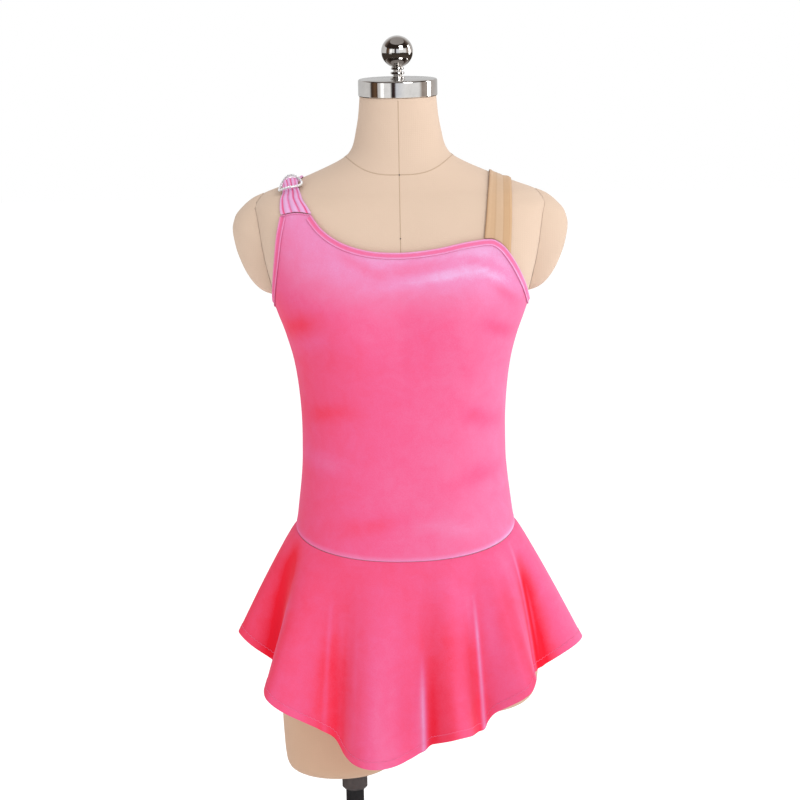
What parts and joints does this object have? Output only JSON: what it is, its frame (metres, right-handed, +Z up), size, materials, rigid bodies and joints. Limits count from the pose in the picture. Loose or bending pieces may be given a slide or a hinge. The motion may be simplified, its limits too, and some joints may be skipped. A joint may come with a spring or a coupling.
{
  "type": "figure skating dress on a dress form",
  "caption": "Velvet figure skating dress with an asymmetric neckline, two unlike straps and a pointed flared skirt, worn by a limbless dress form on a round stand.",
  "frame": {"origin": "the underside of the stand's base, on the pole's axis", "axes": "+Z up along the pole, the dress faces -Y, +X towards the figure's left side"},
  "size_m": [0.4537, 0.3662, 1.2343],
  "materials": {
    "velvet": "pink stretch velvet with a short nap",
    "mesh": "skin-coloured stretch mesh",
    "jersey": "matt beige knitted cover",
    "chrome": "polished",
    "black_steel": "black powder coat"
  },
  "bodies": {
    "root": {"bodice_front": "velvet", "bodice_back": "velvet", "skirt_front": "velvet", "skirt_back": "velvet", "band_armhole_front": "velvet", "band_armhole_back": "velvet", "band_neck_front": "velvet", "band_neck_back": "velvet", "strap_velvet": "velvet", "strap_mesh": "mesh", "strap_ring": "chrome", "form_torso": "jersey", "form_cap_right": "jersey", "form_cap_left": "jersey", "neck_cap": "chrome", "neck_finial": "chrome", "stand_pole": "black_steel", "stand_collar": "black_steel", "stand_base": "black_steel"}
  },
  "joints": []
}
